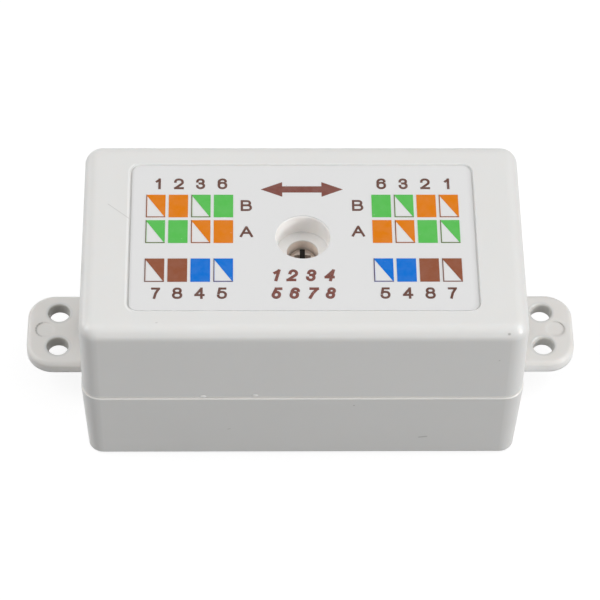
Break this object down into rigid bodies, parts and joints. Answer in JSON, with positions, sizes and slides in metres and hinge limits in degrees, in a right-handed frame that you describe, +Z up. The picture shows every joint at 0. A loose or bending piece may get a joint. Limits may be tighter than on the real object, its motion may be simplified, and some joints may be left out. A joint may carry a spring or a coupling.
{
  "type": "ethernet junction box",
  "caption": "Small two-part plastic case that joins two network cables on punch-down contact blocks, with a wiring label and cable-tie ears at both ends.",
  "frame": {"origin": "middle of the flat underside of the case", "axes": "+X along the case from one cable entry to the other, +Y towards the back long side, +Z up through the cover"},
  "size_m": [0.0842, 0.037, 0.0305],
  "materials": {
    "base_plastic": "satin moulded, off-white",
    "cover_plastic": "satin moulded, off-white",
    "screw_steel": "nickel plated",
    "board_laminate": "green solder mask",
    "block_plastic": "moulded, black",
    "contact_bronze": "bare spring bronze",
    "label_paper": "thin white label with a soft gloss",
    "ink_orange": "printed ink",
    "ink_green": "printed ink",
    "ink_blue": "printed ink",
    "ink_brown": "printed ink"
  },
  "bodies": {
    "root": {"base": "base_plastic", "cover": "cover_plastic", "cover_screw": "screw_steel", "circuit_board": "board_laminate", "contact_block_left_front": "block_plastic", "contact_left_front_1": "contact_bronze", "contact_left_front_2": "contact_bronze", "contact_left_front_3": "contact_bronze", "contact_left_front_4": "contact_bronze", "contact_block_left_back": "block_plastic", "contact_left_back_1": "contact_bronze", "contact_left_back_2": "contact_bronze", "contact_left_back_3": "contact_bronze", "contact_left_back_4": "contact_bronze", "contact_block_right_front": "block_plastic", "contact_right_front_1": "contact_bronze", "contact_right_front_2": "contact_bronze", "contact_right_front_3": "contact_bronze", "contact_right_front_4": "contact_bronze", "contact_block_right_back": "block_plastic", "contact_right_back_1": "contact_bronze", "contact_right_back_2": "contact_bronze", "contact_right_back_3": "contact_bronze", "contact_right_back_4": "contact_bronze", "label": "label_paper", "print_orange": "ink_orange", "print_green": "ink_green", "print_blue": "ink_blue", "print_brown": "ink_brown"}
  },
  "joints": []
}
